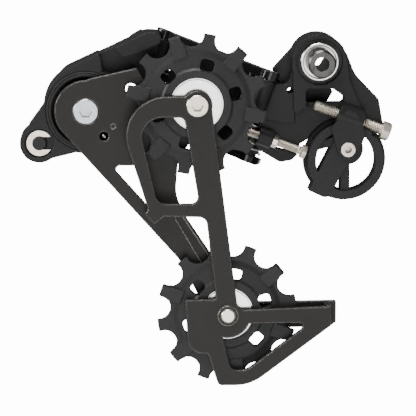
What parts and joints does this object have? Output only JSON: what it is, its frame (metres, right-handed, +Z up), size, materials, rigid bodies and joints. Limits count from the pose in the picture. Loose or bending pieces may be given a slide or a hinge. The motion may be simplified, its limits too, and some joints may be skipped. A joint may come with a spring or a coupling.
{
  "type": "rear bicycle derailleur",
  "caption": "Rear bicycle derailleur: a sprung slanted link parallelogram carries a swinging long cage with two toothed guide pulleys, hung from a hollow hanger bolt.",
  "frame": {"origin": "on the hanger bolt's axis, in the face of the derailleur hanger", "axes": "+Z up, +X to the rear of the bicycle, +Y outboard, away from the wheel; the hanger lies at y < 0"},
  "size_m": [0.1348, 0.0506, 0.1271],
  "materials": {
    "cage_black": "satin black anodised, warm charcoal, bright machined edges",
    "forged_black": "forged aluminium, satin black",
    "gloss_black": "gloss black paint",
    "moulded_black": "glass-filled nylon, fine grain",
    "pulley_polymer": "moulded composite, fine grain, dark grey",
    "bush_polymer": "plain bearing polymer",
    "bright_steel": "warm nickel-plated steel",
    "dark_steel": "blackened steel, worn bright at the edges",
    "spring_steel": "oiled spring wire",
    "cap_aluminium": "turned and polished",
    "bronze": "sintered bronze",
    "seal_rubber": "matt"
  },
  "bodies": {
    "mount": {"hanger_bolt": "dark_steel", "mount_sleeve": "bright_steel"},
    "b_knuckle": {"b_knuckle": "forged_black", "mount_bush": "bush_polymer", "cable_guide": "moulded_black", "guide_rivet": "bright_steel", "b_inner_pin": "dark_steel", "b_outer_pin": "dark_steel", "return_spring": "spring_steel"},
    "b_screw": {"b_screw": "bright_steel"},
    "high_limit_screw": {"high_limit_screw": "bright_steel"},
    "low_limit_screw": {"low_limit_screw": "bright_steel"},
    "inner_link": {"inner_link": "gloss_black", "inner_link_bushes": "bronze", "cable_clamp_bolt": "dark_steel", "cable_clamp_washer": "bright_steel"},
    "outer_link": {"outer_link": "gloss_black", "outer_link_bushes": "bronze"},
    "p_knuckle": {"p_knuckle": "forged_black", "p_inner_pin": "dark_steel", "p_outer_pin": "dark_steel", "knuckle_seal": "seal_rubber", "clutch_band": "spring_steel", "clutch_cover": "moulded_black", "clutch_screws": "dark_steel", "cage_spring": "spring_steel", "lock_spring": "spring_steel"},
    "lock_button": {"lock_button": "moulded_black", "lock_clip": "bright_steel"},
    "cage": {"outer_cage_plate": "cage_black", "inner_cage_plate": "cage_black", "pivot_shaft": "dark_steel", "shaft_clip": "spring_steel", "clutch_drum": "dark_steel", "cage_pivot_bolt": "bright_steel", "cage_stop_pin": "dark_steel", "upper_axle_bolt": "bright_steel", "lower_axle_bolt": "bright_steel", "upper_bearing_inner_race": "bright_steel", "upper_dust_caps": "cap_aluminium", "upper_axle_bush": "bright_steel", "lower_bearing_inner_race": "bright_steel", "lower_dust_caps": "cap_aluminium", "lower_axle_bush": "bright_steel"},
    "upper_pulley": {"upper_pulley": "pulley_polymer", "upper_bearing_outer_race": "bright_steel", "upper_bearing_balls": "bright_steel"},
    "lower_pulley": {"lower_pulley": "pulley_polymer", "lower_bearing_outer_race": "bright_steel", "lower_bearing_balls": "bright_steel"}
  },
  "joints": [
    {"name": "b_knuckle_swing", "type": "hinge", "parent": "mount", "child": "b_knuckle", "pos_m": [0, 0.008, 0], "axis": [0, 1, 0], "range_deg": [-30, 0]},
    {"name": "b_screw_travel", "type": "slide", "parent": "b_knuckle", "child": "b_screw", "axis": [0.9367, 0, -0.3502], "range_m": [-0.0025, 0.0025]},
    {"name": "high_limit_travel", "type": "slide", "parent": "b_knuckle", "child": "high_limit_screw", "axis": [0.9367, 0, -0.3502], "range_m": [-0.001, 0.001]},
    {"name": "low_limit_travel", "type": "slide", "parent": "b_knuckle", "child": "low_limit_screw", "axis": [0.9367, 0, -0.3502], "range_m": [-0.001, 0.001]},
    {"name": "inner_link_swing", "type": "hinge", "parent": "b_knuckle", "child": "inner_link", "pos_m": [-0.02054, 0.002, -0.01154], "axis": [0.3502, 0, 0.9367], "range_deg": [0, 56], "stiffness_Nm_per_rad": 0.25, "springref_deg": -40.11},
    {"name": "outer_link_swing", "type": "hinge", "parent": "b_knuckle", "child": "outer_link", "pos_m": [-0.01995, 0.016, -0.02137], "axis": [0.3502, 0, 0.9367], "range_deg": [-1, 57], "deforming": ["return_spring"]},
    {"name": "p_knuckle_level", "type": "hinge", "parent": "inner_link", "child": "p_knuckle", "pos_m": [-0.05796, 0.01498, 0.00245], "axis": [0.3502, 0, 0.9367], "range_deg": [-57, 1]},
    {"name": "cage_swing", "type": "hinge", "parent": "p_knuckle", "child": "cage", "pos_m": [-0.0846, 0, -0.0167], "axis": [0, 1, 0], "range_deg": [0, 100], "stiffness_Nm_per_rad": 0.2, "springref_deg": -51.57, "deforming": ["cage_spring"]},
    {"name": "lock_button_push", "type": "slide", "parent": "p_knuckle", "child": "lock_button", "axis": [0, 1, 0], "range_m": [-0.003, 0], "stiffness_N_per_m": 400, "springref_m": 0.003, "deforming": ["lock_spring"]},
    {"name": "upper_pulley_spin", "type": "hinge", "parent": "cage", "child": "upper_pulley", "pos_m": [-0.0451, -0.011, -0.0137], "axis": [0, 1, 0], "continuous": true},
    {"name": "lower_pulley_spin", "type": "hinge", "parent": "cage", "child": "lower_pulley", "pos_m": [-0.0342, -0.011, -0.0895], "axis": [0, 1, 0], "continuous": true}
  ],
  "couplings": [
    {"joint": "outer_link_swing", "follows": "inner_link_swing", "ratio": 1},
    {"joint": "p_knuckle_level", "follows": "inner_link_swing", "ratio": -1}
  ]
}
